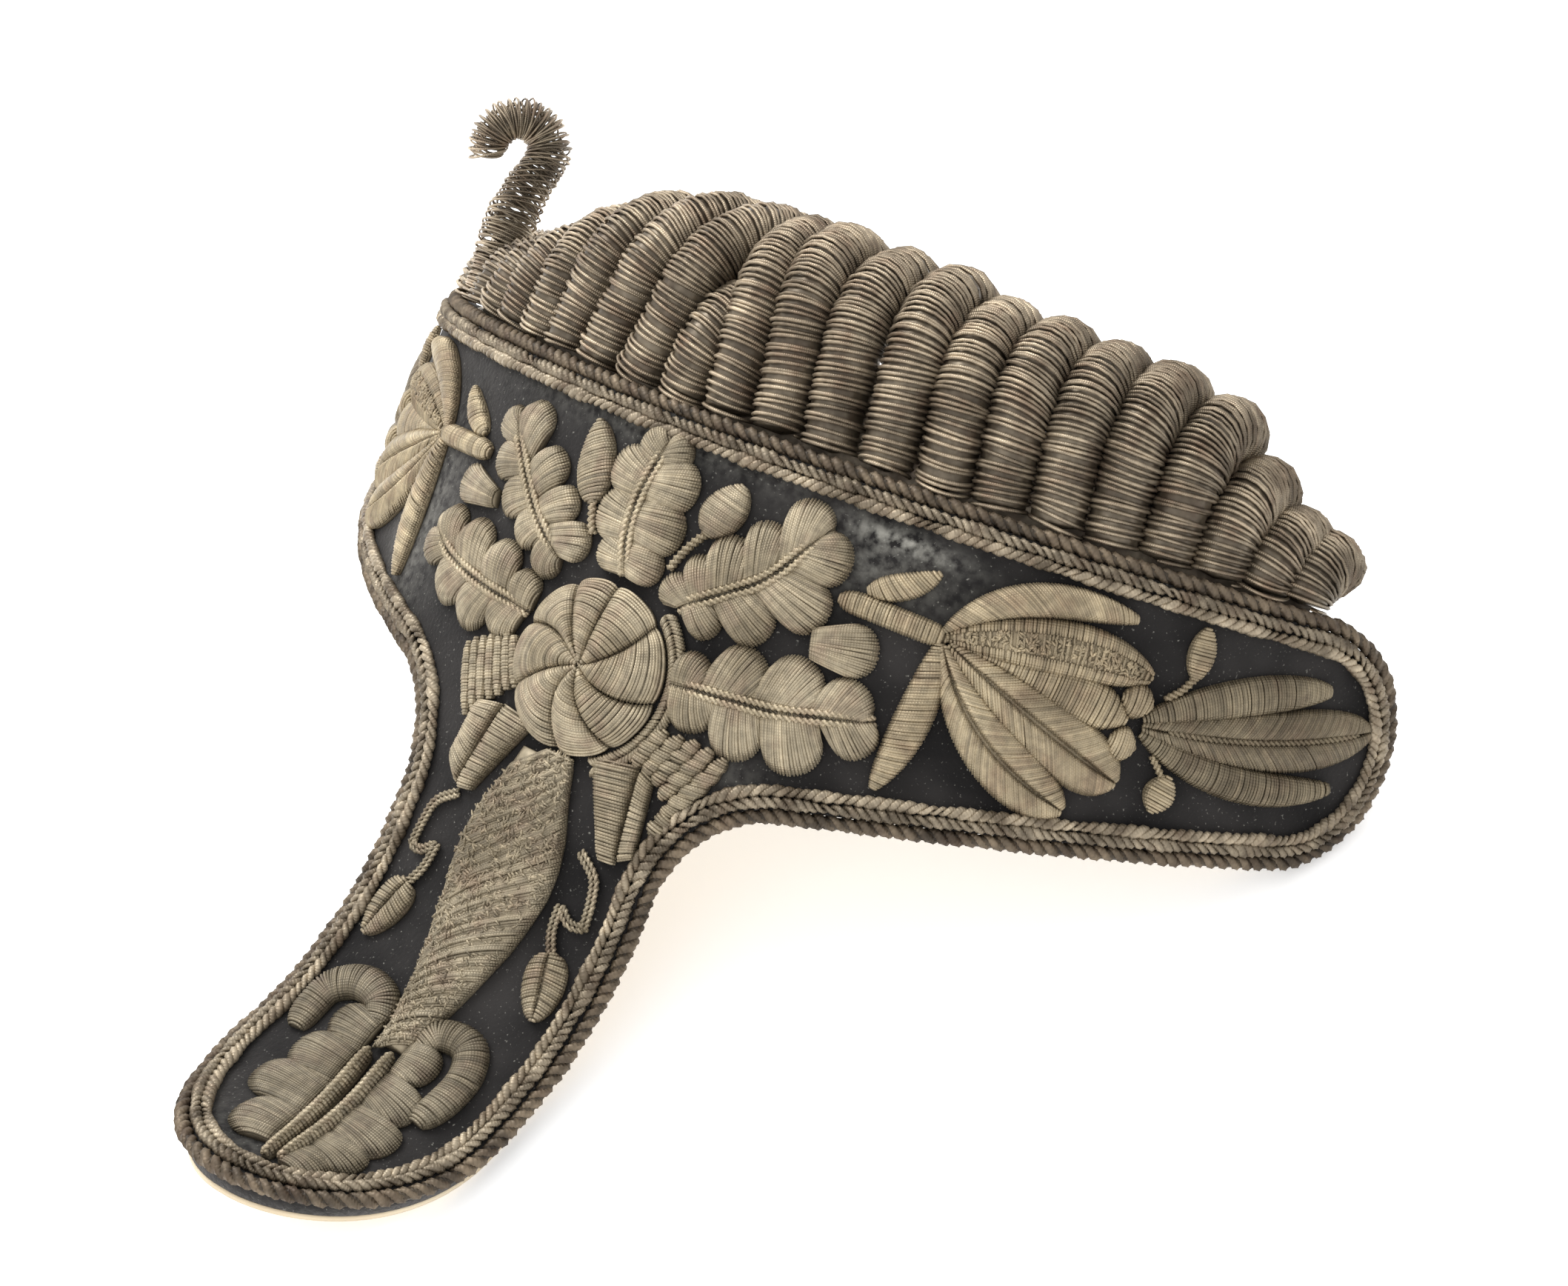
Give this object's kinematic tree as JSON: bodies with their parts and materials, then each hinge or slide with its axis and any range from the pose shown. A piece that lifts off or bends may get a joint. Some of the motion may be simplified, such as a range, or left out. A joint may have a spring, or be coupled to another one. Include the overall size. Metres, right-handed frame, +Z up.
{
  "type": "epaulette",
  "caption": "Velvet shoulder epaulette with a strap, a wing bent over the shoulder, raised metal-thread embroidery, corded edges and a fringe of coiled bullion",
  "frame": {"origin": "middle of the footprint, on the table that the epaulette lies on", "axes": "+Z up, +X across the wing to the right, -Y along the strap toward its round end"},
  "size_m": [0.209, 0.1852, 0.0879],
  "materials": {
    "velvet": "worn dark velvet",
    "lining": "cream silk",
    "edge_rope": "dark tarnished metal-thread cord",
    "border_braid": "tarnished metal-thread braid",
    "bullion": "trimming of tarnished gilt wire, wound in hollow coils",
    "embroidery": "satin stitch in tarnished gilt thread",
    "tongue": "plain"
  },
  "bodies": {
    "root": {"velvet_board": "velvet", "lining": "lining", "edge_rope": "edge_rope", "border_braid": "border_braid", "bullion_fringe": "bullion", "loose_bullion": "bullion", "rosette": "embroidery", "oak_leaf_1": "embroidery", "oak_leaf_2": "embroidery", "oak_leaf_3": "embroidery", "oak_leaf_4": "embroidery", "oak_leaf_5": "embroidery", "acorn_1": "embroidery", "acorn_2": "embroidery", "acorn_3": "embroidery", "acorn_4": "embroidery", "ray_bars": "embroidery", "lobe_leaf_left": "embroidery", "lobe_leaf_right": "embroidery", "quiver": "embroidery", "sprig_left": "embroidery", "sprig_right": "embroidery", "palmette": "embroidery", "stem_left": "embroidery", "sepal_left": "embroidery", "flower_left": "embroidery", "end_flower_left": "embroidery", "bud_up_left": "embroidery", "bud_low_left": "embroidery", "stem_right": "embroidery", "sepal_right": "embroidery", "flower_right": "embroidery", "end_flower_right": "embroidery", "bud_up_right": "embroidery", "bud_low_right": "embroidery", "fastening_tongue": "tongue"}
  },
  "joints": []
}
